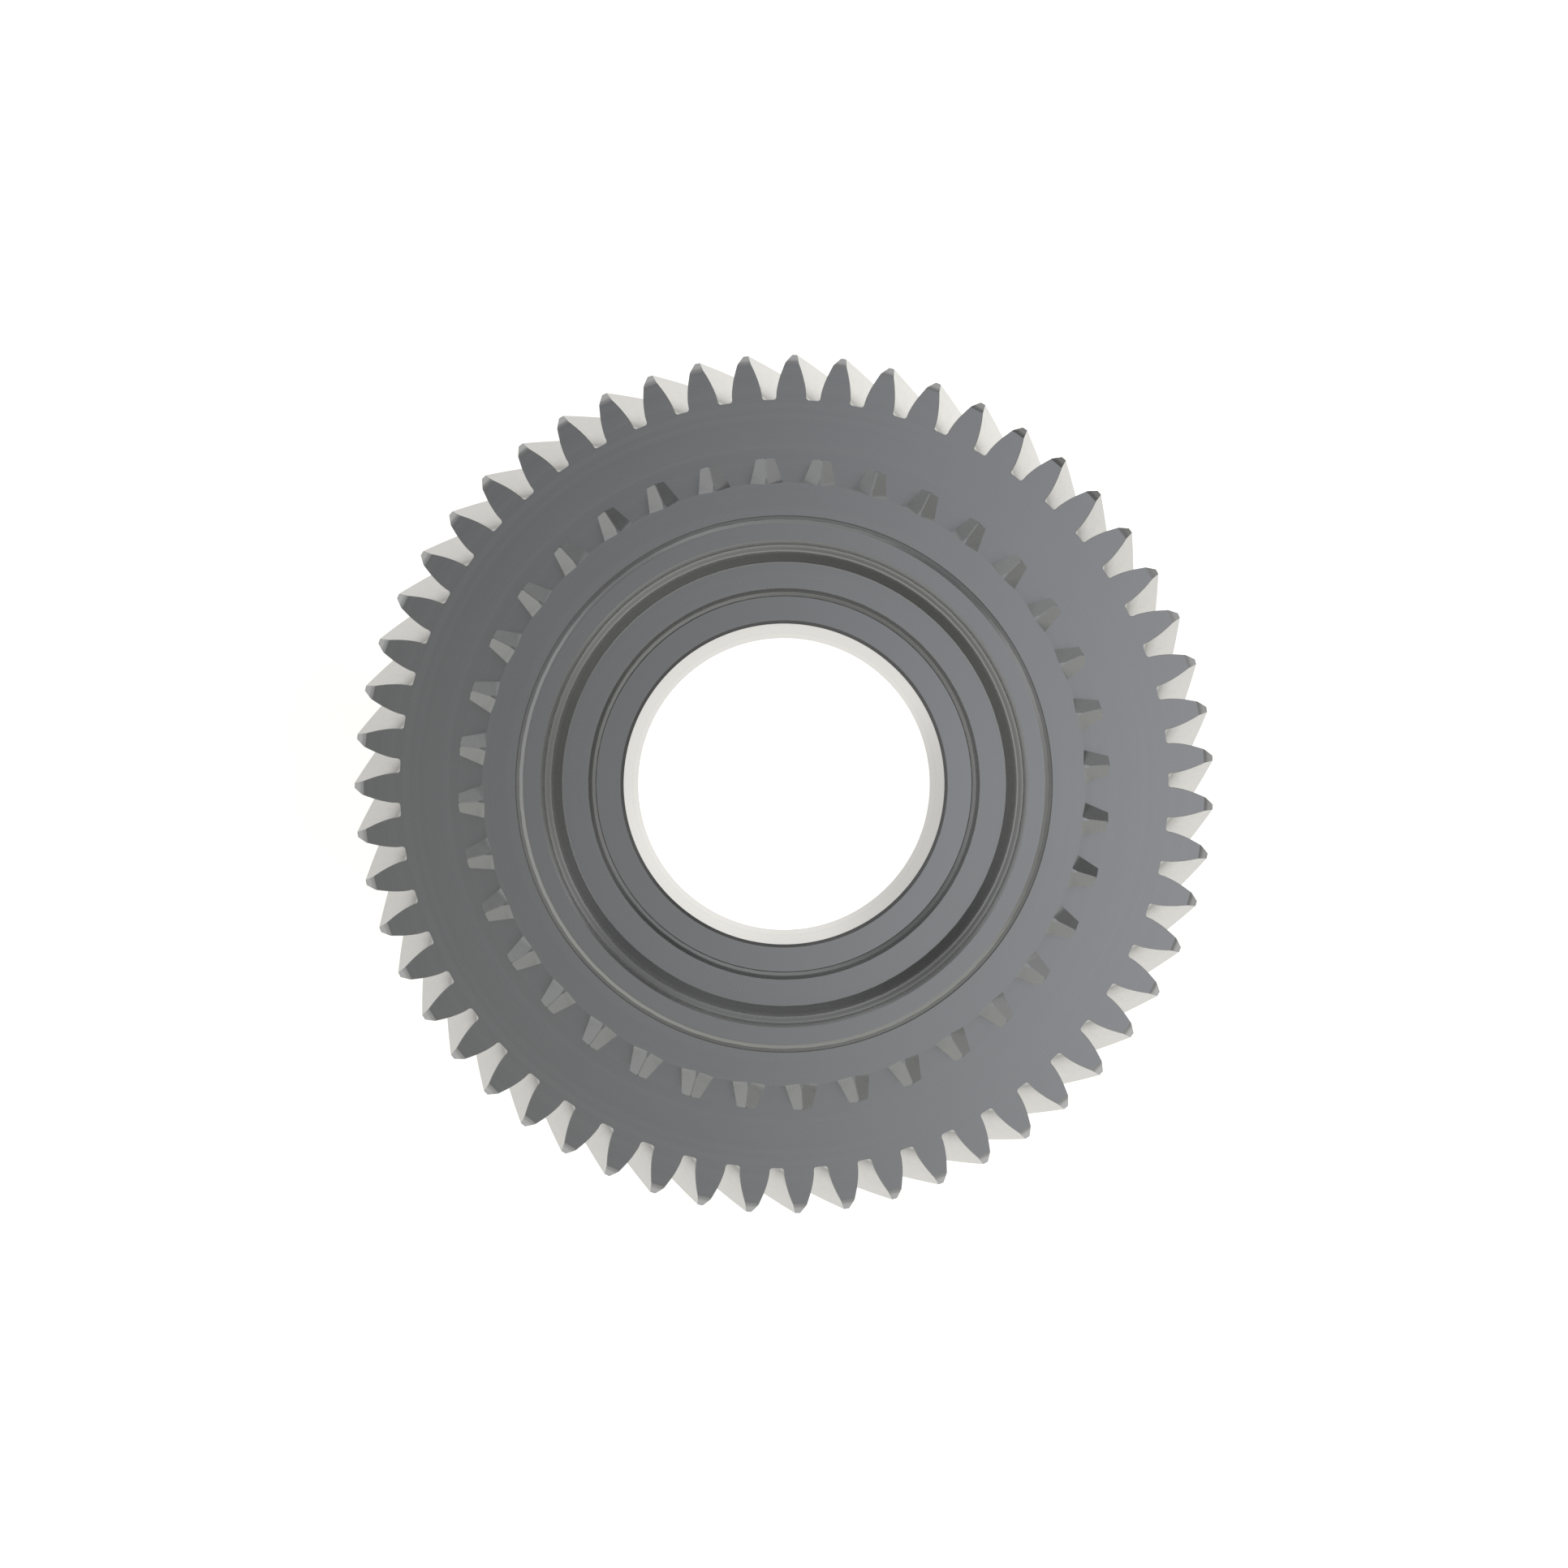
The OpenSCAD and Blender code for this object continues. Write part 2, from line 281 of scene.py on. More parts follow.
def hub_profile():
    """The wheel from its front face inwards, through the hub, to its back face, as (r, z)."""
    relief_z = RIM_BACK + RELIEF_DEPTH
    relief_slope = 1.5
    relief_break = 0.8
    back_chamfer = 0.6
    boss_chamfer = 1.2
    front = [(BLEND_R, RIM_FRONT, 0), (SPIGOT_R, RIM_FRONT, 0)]
    front += placed(SPIGOT_EDGE, SPIGOT_R, TOP_Z)
    front += placed(MOUTH_EDGE, MOUTH_R, TOP_Z)
    lip = [(MOUTH_R - MOUTH_FOOT_IN, LEDGE_Z, 0.1), (LIP_EDGE_R, LEDGE_Z, 0.05)]
    lip += placed(LIP_STEP, LIP_STEP_R, LEDGE_Z)
    lip += [(LIP_R, LEDGE_Z - LIP_FACET_DEPTH, 0.03), (LIP_R, LEDGE_Z - LIP_DEPTH, 0.05)]
    race = [(RACE_OUTER_R, LEDGE_Z - LIP_BACK_DEPTH, 0.05), (RACE_OUTER_R, SEAT_Z, 0.1),
            (SEAT_R, SEAT_Z, 0.15)]
    back = [(SEAT_R, back_chamfer, 0), (SEAT_R + back_chamfer, 0, 0),
            (BOSS_R - boss_chamfer, 0, 0), (BOSS_R, boss_chamfer, 0),
            (BOSS_R, relief_z, relief_break), (RIM_INNER_R - relief_slope, relief_z, relief_break),
            (RIM_INNER_R, RIM_BACK + back_chamfer, 0.1), (RIM_INNER_R + back_chamfer, RIM_BACK, 0),
            (BLEND_R, RIM_BACK, 0)]
    return broken(front + lip + race + back)


def gear_wheel():
    """The wheel as one closed surface: rows of tooth outlines, joined in the flat faces to a turned hub."""
    side_n = FILLET_STEPS + FLANK_STEPS + 1
    per_tooth = 2 * side_n
    fine_n = per_tooth * TOOTH_COUNT
    low, high, end = FILLET_STEPS + 1, FILLET_STEPS + 5, per_tooth - 1
    anchors = (0, low, high, end - high, end - low, end)
    coarse_n = len(anchors) * TOOTH_COUNT
    rows = rim_rows()
    points = [p for rim in rows for p in tooth_row(rim)]
    faces = []
    for row in range(len(rows) - 1):
        upper, lower = row * fine_n, (row + 1) * fine_n
        for i in range(fine_n):
            j = (i + 1) % fine_n
            faces.append((upper + i, lower + i, lower + j, upper + j))

    # the hub's columns start at the anchors of the front outline and end at those of the back one
    profile = hub_profile()
    hub_start = len(points)
    front, back = points[:fine_n], points[(len(rows) - 1) * fine_n:len(rows) * fine_n]
    anchor_index = [k * per_tooth + a for k in range(TOOTH_COUNT) for a in anchors]

    def azimuths(outline, shift):
        found = []
        for c in range(coarse_n):
            x, y, _ = outline[anchor_index[(c + shift) % coarse_n]]
            found.append(math.atan2(y, x))
        return found

    back_shift = len(anchors)
    start_angles, end_angles = azimuths(front, 0), azimuths(back, back_shift)
    last = len(profile) - 1
    for i, (r, z) in enumerate(profile):
        share = i / last
        for a, b in zip(start_angles, end_angles):
            skew = math.remainder(b - a, TAU)
            points.append(polar(r, a + skew * share, z))
    for i in range(last):
        upper, lower = hub_start + i * coarse_n, hub_start + (i + 1) * coarse_n
        for c in range(coarse_n):
            d = (c + 1) % coarse_n
            faces.append((upper + c, upper + d, lower + d, lower + c))

    # flat faces between the hub's rim circle and the tooth outlines
    for row_start, circle_start, shift, front_face in (
            (0, hub_start, 0, True),
            ((len(rows) - 1) * fine_n, hub_start + last * coarse_n, back_shift, False)):
        for c in range(coarse_n):
            d = (c + 1) % coarse_n
            i, j = anchor_index[(c + shift) % coarse_n], anchor_index[(d + shift) % coarse_n]
            span = (j - i) % fine_n
            outer = [row_start + (i + s) % fine_n for s in range(span + 1)]
            loop = [circle_start + d, circle_start + c] + outer
            faces.append(tuple(loop if front_face else reversed(loop)))
    return make_piece("gear_wheel_turned", points, faces, "gear", ["gear_wheel"])


# ------------------------------------------------------------------ clutch ring

def roof_height(x, y):
    """Height of a clutch tooth's roof at x along its centre line and y across it."""
    return CLUTCH_FRONT - RIDGE_FALL * (x - RIDGE_START) - ROOF_SLOPE * max(abs(y) - RIDGE_HALF_W, 0.0)


def half_width(x):
    return CLUTCH_HALF_W - (x - CLUTCH_ROOT_R) * CLUTCH_TAPER


def roof_grid(side):
    """Points of one roof face, from the ridge to the flank and from the ring to the tip."""
    notch_y = RIDGE_HALF_W + RIDGE_FALL * (RIDGE_START - CLUTCH_ROOT_R) / ROOF_SLOPE
    tip_ridge_z = CLUTCH_FRONT - RIDGE_FALL * (CLUTCH_TIP_R - RIDGE_START)
    cone_z = tip_ridge_z - CLUTCH_TIP_CHAMFER
    ridge_end = CLUTCH_TIP_R - CLUTCH_TIP_CHAMFER / (1 - RIDGE_FALL)
    chamfer_w = (tip_ridge_z - cone_z) / ROOF_SLOPE
    notch_s = notch_y / CLUTCH_HALF_W
    shares = [0.0, RIDGE_HALF_W / CLUTCH_HALF_W, notch_s, 0.26, 0.4, 0.55, 0.7, 0.85, 1.0]
    depths = [0.0, 0.03, 0.07, 0.12, 0.18, 0.26, 0.36, 0.6, 1.0]
    wall_lean = 0.25
    blend_per_wall = 0.62
    blend_limit = 1.9
    blend_rise = 0.2
    columns = []
    for s in shares:
        y0 = s * CLUTCH_HALF_W
        if s < notch_s:
            x0 = RIDGE_START
        else:
            x0 = CLUTCH_ROOT_R + wall_lean * (y0 - notch_y) / (CLUTCH_HALF_W - notch_y)
        y1 = s * half_width(CLUTCH_TIP_R) if s >= notch_s else y0
        arc_x = math.sqrt(CLUTCH_TIP_R ** 2 - y1 ** 2)
        x1 = ridge_end + (arc_x - ridge_end) * min(max(y1 - RIDGE_HALF_W, 0.0) / chamfer_w, 1.0)
        wall = max(CLUTCH_FRONT - roof_height(x0, y0), 0.0)
        blend_w = min(blend_limit, blend_per_wall * wall)
        blend_h = blend_rise * blend_w
        column = []
        for d in depths:
            x = x0 + (x1 - x0) * d
            y = s * half_width(x) if s >= notch_s else y0
            away = max(blend_w - (x - x0), 0.0)
            rise = blend_h * (away / blend_w) ** 2 if blend_w > 0 else 0.0
            column.append((x, side * y, roof_height(x, y) + rise))
        columns.append(column)
    return columns


def clutch_ring():
    """The ring as one closed surface with a roof-pointed tooth in each sector."""
    points, faces = [], []
    index = {}

    def add(p):
        key = tuple(round(v, 5) for v in p)
        if key not in index:
            index[key] = len(points)
            points.append(p)
        return index[key]

    chamfer_r, chamfer_z = SPIGOT_R + CLUTCH_INNER_CHAMFER, CLUTCH_FRONT - CLUTCH_INNER_CHAMFER
    edge = 0.05
    inner = [(SPIGOT_R, RIM_FRONT), (SPIGOT_R, chamfer_z - edge), (SPIGOT_R + edge, chamfer_z),
             (chamfer_r, CLUTCH_FRONT - edge), (chamfer_r + 0.06, CLUTCH_FRONT)]
    arc_steps = 10
    root_steps = 3
    right, left = roof_grid(-1), roof_grid(1)
    corner = left[-1][0]
    root_r = math.hypot(corner[0], corner[1])
    corner_angle = math.atan2(corner[1], corner[0])
    for k in range(CLUTCH_TEETH):
        turn = CLUTCH_PHASE + k * CLUTCH_PITCH
        cos_t, sin_t = math.cos(turn), math.sin(turn)

        def put(p, z=None):
            x, y = p[0] * cos_t - p[1] * sin_t, p[0] * sin_t + p[1] * cos_t
            return add((x, y, p[2] if z is None else z))

        def at(r, angle, z):
            return add(polar(r, turn + angle, z))

        angles = [CLUTCH_PITCH * (i / arc_steps - 0.5) for i in range(arc_steps + 1)]
        for (r0, z0), (r1, z1) in zip(inner, inner[1:]):
            for a, b in zip(angles, angles[1:]):
                faces.append((at(r0, a, z0), at(r1, a, z1), at(r1, b, z1), at(r0, b, z0)))

        half = CLUTCH_PITCH / 2
        root_angles = [half + (corner_angle - half) * i / root_steps for i in range(root_steps)]

        # outline of the flat front face, clockwise from the left gap to the right gap
        wall_top = [put(c[0], CLUTCH_FRONT) for c in reversed(left)]
        wall_top += [put(c[0], CLUTCH_FRONT) for c in right[1:]]
        front = [at(root_r, a, CLUTCH_FRONT) for a in root_angles] + wall_top
        front += [at(root_r, -a, CLUTCH_FRONT) for a in reversed(root_angles)]
        mouth = [at(inner[-1][0], a, CLUTCH_FRONT) for a in angles]
        faces.append(tuple(reversed(mouth + front)))

        for columns, flip in ((left, False), (right, True)):
            def face(loop):
                clean = [v for i, v in enumerate(loop) if v != loop[i - 1]]
                if len(clean) > 2:
                    faces.append(tuple(reversed(clean)) if flip else tuple(clean))

            # wall between the front face and the roof, then the roof itself
            for near, far in zip(columns, columns[1:]):
                face([put(near[0], CLUTCH_FRONT), put(near[0]), put(far[0]), put(far[0], CLUTCH_FRONT)])
                for i in range(len(near) - 1):
                    face([put(near[i]), put(near[i + 1]), put(far[i + 1]), put(far[i])])
            # flank down to the wheel, as one face with the roof's edge on top
            flank = columns[-1]
            face([put(p) for p in flank] + [put(flank[-1], RIM_FRONT), put(flank[0], RIM_FRONT)])
            face([put(flank[0], CLUTCH_FRONT), put(flank[0]), put(flank[0], RIM_FRONT)])
            # end of the tooth, straight down from the roof's outer edge
            ends = [c[-1] for c in columns if math.hypot(c[-1][0], c[-1][1]) > CLUTCH_TIP_R - 0.001]
            for near, far in zip(ends, ends[1:]):
                face([put(near), put(near, RIM_FRONT), put(far, RIM_FRONT), put(far)])

        # facet of the turned chamfer at the ridge's outer end, and the wall below it
        cut = [c[-1] for c in left if math.hypot(c[-1][0], c[-1][1]) <= CLUTCH_TIP_R - 0.001]
        first_left = left[len(cut)][-1]
        first_right = right[len(cut)][-1]
        cut_right = [c[-1] for c in right[1:len(cut)]]
        facet = [put(p) for p in reversed(cut)] + [put(p) for p in cut_right]
        facet += [put(first_right), put(first_left)]
        faces.append(tuple(facet))
        faces.append((put(first_left), put(first_right),
                      put(first_right, RIM_FRONT), put(first_left, RIM_FRONT)))

        # walls of the gaps
        gap = [at(root_r, a, CLUTCH_FRONT) for a in root_angles] + [put(left[-1][0], CLUTCH_FRONT)]
        gap_low = [at(root_r, a, RIM_FRONT) for a in root_angles] + [put(left[-1][0], RIM_FRONT)]
        mirror = [at(root_r, -a, CLUTCH_FRONT) for a in root_angles] + [put(right[-1][0], CLUTCH_FRONT)]
        mirror_low = [at(root_r, -a, RIM_FRONT) for a in root_angles] + [put(right[-1][0], RIM_FRONT)]
        for i in range(root_steps):
            faces.append((gap[i], gap[i + 1], gap_low[i + 1], gap_low[i]))
            faces.append((mirror[i + 1], mirror[i], mirror_low[i], mirror_low[i + 1]))

        # underside
        tip_left = [put(c[-1], RIM_FRONT) for c in left[len(cut):]]
        tip_right = [put(c[-1], RIM_FRONT) for c in right[len(cut):]]
        under = [at(SPIGOT_R, a, RIM_FRONT) for a in angles] + gap_low + list(reversed(tip_left))
        under += tip_right + list(reversed(mirror_low))
        faces.append(tuple(under))
    return make_piece("clutch_ring_toothed", points, faces, "gear", ["clutch_ring"])


# ------------------------------------------------------------------ turned pieces

def weld_seam():
    """A flat bead with the fine ripples of a beam weld."""
    bottom = CLUTCH_FRONT - WELD_DEPTH
    columns = WELD_COLUMNS
    crown = TOP_Z - bottom - SPIGOT_EDGE_DEPTH
    # the ripples are in the sloping face, between its shoulder and its brow
    toe, shoulder, brow = (WELD_W, 0.91), (WELD_W - 0.12, crown - 0.36), (0.14, crown - 0.05)
    section = [(0.0, 0.0), toe, shoulder, brow, (0.0, crown)]
    points, faces = [], []
    for c in range(columns):
        angle = TAU * c / columns
        fine = RIPPLE * (0.5 + 0.5 * math.sin(c * TAU / RIPPLE_COLUMNS))
        lift = fine + RIPPLE * 0.3 * math.sin(SWELLS * angle)
        for r, z in section:
            drop = lift if (r, z) in (shoulder, brow) else 0.0
            points.append(polar(SPIGOT_R + r, angle, bottom + z - drop))
    count = len(section)
    for c in range(columns):
        left, right = c * count, (c + 1) % columns * count
        for i in range(count):
            j = (i + 1) % count
            faces.append((left + i, right + i, right + j, left + j))
    return make_piece("weld_bead", points, faces, "gear", ["weld_seam"])


def bearing_sleeve():
    """The sleeve with its flange, the chamfers of its bore and the groove of the snap ring."""
    snap_gap = 0.05
    snap_bottom = snap_lo.z / MM - snap_gap
    snap_top = snap_hi.z / MM + snap_gap
    groove_r = RACE_INNER_R - 1.2
    back_chamfer = 0.3
    profile = broken([
        (BORE_R + BORE_CHAMFER, SLEEVE_BACK, 0.05), (RACE_INNER_R - back_chamfer, SLEEVE_BACK, 0),
        (RACE_INNER_R, SLEEVE_BACK + back_chamfer, 0), (RACE_INNER_R, snap_bottom, 0.04),
        (groove_r, snap_bottom, 0.05), (groove_r, snap_top, 0.05), (RACE_INNER_R, snap_top, 0.04),
        (RACE_INNER_R, SLEEVE_FRONT - FLANGE_T, 0.15), (FLANGE_R, SLEEVE_FRONT - FLANGE_T, 0.2),
        (FLANGE_R, SLEEVE_FRONT - FLANGE_CHAMFER, 0.04), (FLANGE_R - FLANGE_CHAMFER, SLEEVE_FRONT, 0.04),
        (BORE_R + BORE_CHAMFER, SLEEVE_FRONT, 0.05), (BORE_R, SLEEVE_FRONT - BORE_CHAMFER * 1.05, 0.05),
        (BORE_R, SLEEVE_BACK + BORE_CHAMFER, 0.05)])
    points, faces = lathe(profile, 360)
    return make_piece("bearing_sleeve_ground", points, faces, "sleeve", ["bearing_sleeve"])


def thrust_washer():
    """The washer, with one oil groove round the middle of its back face."""
    low, high = washer_lo.z / MM, washer_hi.z / MM
    outer = washer_hi.x / MM
    inner = RACE_INNER_R + 0.1
    groove_depth = 0.35
    mouth, floor_w = 0.6, 0.3
    groove_r = (inner + outer) / 2
    profile = broken([
        (inner, low, 0.15), (groove_r - mouth, low, 0.1), (groove_r - floor_w, low + groove_depth, 0.1),
        (groove_r + floor_w, low + groove_depth, 0.1), (groove_r + mouth, low, 0.1), (outer, low, 0.4),
        (outer, high, 0.4), (inner, high, 0.15)])
    points, faces = lathe(profile, 240)
    return make_piece("thrust_washer_turned", points, faces, "sleeve", ["thrust_washer"])


def snap_ring():
    """A split ring with softly broken edges and a gap on the +X side."""
    low, high = snap_lo.z / MM, snap_hi.z / MM
    inner = RACE_INNER_R - 1.1
    outer = RACE_INNER_R + 3
    half_gap = 4.5
    steps = 220
    section = broken([(inner, low, 0.15), (outer, low, 0.3), (outer, high, 0.3), (inner, high, 0.15)])
    count = len(section)
    points, faces = [], []
    for i in range(steps + 1):
        for r, z in section:
            start = math.asin(half_gap / r)
            points.append(polar(r, start + (TAU - 2 * start) * i / steps, z))
    for s in range(steps):
        for i in range(count):
            j = (i + 1) % count
            faces.append((s * count + i, (s + 1) * count + i, (s + 1) * count + j, s * count + j))
    faces.append(tuple(range(count)))
    faces.append(tuple(steps * count + i for i in reversed(range(count))))
    return make_piece("snap_ring_split", points, faces, "sleeve", ["snap_ring"])


def needle_cage():
    """A cage with one pocket for each needle, and a small break on its rims."""
    low, high = cage_lo.z / MM, cage_hi.z / MM
    outer = cage_hi.x / MM
    inner = RACE_INNER_R + 0.4
    pocket_low, pocket_high = needle_lo.z / MM - 0.1, needle_hi.z / MM + 0.1
    pocket_half = (needle_hi.y - needle_lo.y) / MM / 2 + 0.1
    edge = 0.12
    levels = [(low, edge), (low + edge, 0.0), (pocket_low, 0.0), (pocket_high, 0.0),
              (high - edge, 0.0), (high, edge)]
    pocket_level = 2
    sill_in, sill_out, head_in, head_out = range(2 * pocket_level, 2 * pocket_level + 4)
    pitch = TAU / NEEDLE_COUNT
    bar_steps = 4
    points, faces = [], []
    per_sector = bar_steps + 2
    columns = per_sector * NEEDLE_COUNT

    def column_angle(c, r):
        sector, step = divmod(c, per_sector)
        start = math.asin(pocket_half / r)
        if step == 0:
            return sector * pitch
        return sector * pitch + start + (pitch - 2 * start) * (step - 1) / bar_steps

    for c in range(columns):
        for z, cut in levels:
            for r in (inner + cut, outer - cut):
                points.append(polar(r, column_angle(c, r), z))
    stride = 2 * len(levels)
    top = len(levels) - 1
    for c in range(columns):
        left, right = c * stride, (c + 1) % columns * stride
        step = c % per_sector
        pocket = step in (0, per_sector - 1)
        for level in range(top):
            if pocket and level == pocket_level:
                continue
            low_in, low_out, high_in, high_out = range(2 * level, 2 * level + 4)
            faces.append((left + low_out, right + low_out, right + high_out, left + high_out))
            faces.append((left + low_in, left + high_in, right + high_in, right + low_in))
        faces.append((left, right, right + 1, left + 1))
        faces.append((left + 2 * top, left + 2 * top + 1, right + 2 * top + 1, right + 2 * top))
        if pocket:
            faces.append((left + sill_in, left + sill_out, right + sill_out, right + sill_in))
            faces.append((left + head_in, right + head_in, right + head_out, left + head_out))
        if step == 1:
            faces.append((left + sill_in, left + sill_out, left + head_out, left + head_in))
        if step == per_sector - 1:
            faces.append((left + sill_in, left + head_in, left + head_out, left + sill_out))
    return make_piece("needle_cage_pocketed", points, faces, "cage", ["needle_cage"])


# ------------------------------------------------------------------ materials

class Nodes:
    """A short way to write a node tree."""

    def __init__(self, tree):
        self.tree = tree

    def add(self, kind, **settings):
        node = self.tree.nodes.new(kind)
        for name, value in settings.items():
            setattr(node, name, value)
        return node

    def set(self, socket, value):
        if isinstance(value, bpy.types.NodeSocket):
            self.tree.links.new(value, socket)
        else:
            socket.default_value = value

    def math(self, operation, a, b=0.0):
        node = self.add("ShaderNodeMath", operation=operation)
        self.set(node.inputs[0], a)
        self.set(node.inputs[1], b)
        return node.outputs[0]

    def dot(self, vector, direction):
        node = self.add("ShaderNodeVectorMath", operation="DOT_PRODUCT")
        self.set(node.inputs[0], vector)
        node.inputs[1].default_value = direction
        return node.outputs["Value"]

    def remap(self, value, low, high, out_low, out_high, smooth=True):
        node = self.add("ShaderNodeMapRange", interpolation_type="SMOOTHSTEP" if smooth else "LINEAR")
        self.set(node.inputs[0], value)
        for socket, number in zip(node.inputs[1:5], (low, high, out_low, out_high)):
            socket.default_value = number
        return node.outputs[0]

    def noise(self, vector, scale, detail=2.0, roughness=0.5):
        node = self.add("ShaderNodeTexNoise", noise_dimensions="3D")
        self.set(node.inputs["Vector"], vector)
        node.inputs["Scale"].default_value = scale
        node.inputs["Detail"].default_value = detail
        node.inputs["Roughness"].default_value = roughness
        return node.outputs["Fac"]

    def mix(self, share, a, b):
        node = self.add("ShaderNodeMix", data_type="RGBA")
        self.set(node.inputs[0], share)
        self.set(node.inputs[6], a)
        self.set(node.inputs[7], b)
        return node.outputs[2]


def grey(value, warm=0.0):
    return (value * (1 + warm), value, value * (1 - warm), 1.0)


# how finely the patterns repeat, per metre
GROOVE_SCALE = 5200
WIDE_RING_SCALE = 420
CLOUD_SCALE = 38
GRAIN_SCALE = 9000
GROOVE_DRIFT = 0.004


def steel(name, light, dark, rough, lathe_depth=0.0, lathe_scale=1.0, grain_depth=0.0, warm=0.0,
          spread=0.04, grazing=1.0):
    """Steel with turned grooves round the Z axis, a fine grain, and a slight change of tone and gloss.

    grazing is how much of the light it gives back at a flat angle.
    """
    material = bpy.data.materials.new(name)
    material.use_nodes = True
    tree = material.node_tree
    tree.nodes.clear()
    n = Nodes(tree)
    output = n.add("ShaderNodeOutputMaterial")
    shader = n.add("ShaderNodeBsdfPrincipled")
    tree.links.new(shader.outputs[0], output.inputs[0])
    place = n.add("ShaderNodeTexCoord").outputs["Object"]

    apart = n.add("ShaderNodeSeparateXYZ")
    tree.links.new(place, apart.inputs[0])
    x, y, z = apart.outputs
    radius = n.math("SQRT", n.math("ADD", n.math("MULTIPLY", x, x), n.math("MULTIPLY", y, y)))
    rings = n.add("ShaderNodeCombineXYZ")
    n.set(rings.inputs[0], radius)
    n.set(rings.inputs[1], n.math("MULTIPLY", x, GROOVE_DRIFT))
    n.set(rings.inputs[2], z)
    grooves = n.noise(rings.outputs[0], GROOVE_SCALE * lathe_scale, 3.0, 0.6)
    wide_rings = n.noise(rings.outputs[0], WIDE_RING_SCALE * lathe_scale, 2.0, 0.5)
    clouds = n.noise(place, CLOUD_SCALE, 3.0, 0.55)
    grain = n.noise(place, GRAIN_SCALE, 2.0, 0.6)

    tone = n.math("ADD", n.math("MULTIPLY", clouds, 0.55), n.math("MULTIPLY", wide_rings, 0.45))
    share = n.remap(tone, 0.32, 0.68, 0.0, 1.0)
    n.set(shader.inputs["Base Color"], n.mix(share, grey(dark, warm), grey(light, warm)))
    shader.inputs["Metallic"].default_value = 1.0
    shader.inputs["Specular Tint"].default_value = (grazing, grazing * 0.995, grazing * 0.98, 1.0)
    gloss = n.math("ADD", n.math("MULTIPLY", wide_rings, 0.5), n.math("MULTIPLY", grain, 0.5))
    n.set(shader.inputs["Roughness"], n.remap(gloss, 0.3, 0.7, rough - spread, rough + spread, smooth=False))

    bump = n.add("ShaderNodeBump")
    bump.inputs["Strength"].default_value = 1.0
    bump.inputs["Distance"].default_value = 1.0
    height = n.math("ADD", n.math("MULTIPLY", grooves, lathe_depth), n.math("MULTIPLY", grain, grain_depth))
    n.set(bump.inputs["Height"], height)
    tree.links.new(bump.outputs[0], shader.inputs["Normal"])
    return material


MICRON = 1e-6


def gear_steel():
    return steel("gear_steel", light=0.508, dark=0.497, rough=0.26,
                 lathe_depth=0.35 * MICRON, grain_depth=0.15 * MICRON, grazing=0.86)


def clutch_steel():
    return steel("clutch_steel", light=0.508, dark=0.497, rough=0.26,
                 lathe_depth=0.35 * MICRON, grain_depth=0.2 * MICRON)


def weld_steel():
    return steel("weld", light=0.48, dark=0.42, rough=0.34, grain_depth=1.5 * MICRON)


def race_steel():
    return steel("race_steel", light=0.508, dark=0.50, rough=0.17,
                 lathe_depth=0.25 * MICRON, lathe_scale=1.5, grazing=0.49)


def spring_steel():
    return steel("spring_steel", light=0.10, dark=0.06, rough=0.42, grain_depth=0.8 * MICRON)


def cage_steel():
    return steel("cage_steel", light=0.42, dark=0.36, rough=0.40,
                 lathe_depth=0.8 * MICRON, grain_depth=0.5 * MICRON, warm=0.02)


def needle_steel():
    return steel("needle_steel", light=0.74, dark=0.70, rough=0.14, grain_depth=0.1 * MICRON, spread=0.03)


def bronze():
    """The same finish with the two tones of its mix changed to bronze."""
    material = steel("bronze", light=0.62, dark=0.55, rough=0.33,
                     lathe_depth=1.0 * MICRON, grain_depth=0.4 * MICRON)
    mix = next(n for n in material.node_tree.nodes if n.bl_idname == "ShaderNodeMix")
    dark, light = mix.inputs[6], mix.inputs[7]
    dark.default_value = (0.50, 0.34, 0.14, 1.0)
    light.default_value = (0.66, 0.48, 0.23, 1.0)
    return material


# ------------------------------------------------------------------ stage, light and camera

def direction(azimuth):
    """Level unit vector at an azimuth in degrees, anticlockwise from +X."""
    a = math.radians(azimuth)
    return (math.cos(a), math.sin(a), 0.0)


def level_direction(n, vector):
    """The vector turned level, at unit length."""
    flat = n.add("ShaderNodeVectorMath", operation="MULTIPLY")
    n.set(flat.inputs[0], vector)
    flat.inputs[1].default_value = (1.0, 1.0, 0.0)
    unit = n.add("ShaderNodeVectorMath", operation="NORMALIZE")
    n.set(unit.inputs[0], flat.outputs[0])
    return unit.outputs[0]


def towards(n, flat, azimuth, core, edge):
    """1 within core degrees of an azimuth, falling softly to 0 at edge degrees from it."""
    near, far = math.cos(math.radians(core)), math.cos(math.radians(edge))
    return n.remap(n.dot(flat, direction(azimuth)), far, near, 0.0, 1.0)


def between(n, share, a, b):
    """a where share is 0, b where it is 1."""
    rest = n.math("MULTIPLY", n.math("SUBTRACT", 1.0, share), a)
    return n.math("ADD", rest, n.math("MULTIPLY", share, b))


def tilted(n, vector, azimuth, slope, middle):
    """A level that rises towards an azimuth."""
    return n.math("ADD", n.math("MULTIPLY", n.dot(vector, direction(azimuth)), slope), middle)


# A soft patch round an azimuth, in degrees: how much brighter (or, below 0, darker) it is at its middle.
Patch = namedtuple("Patch", "azimuth core edge change")

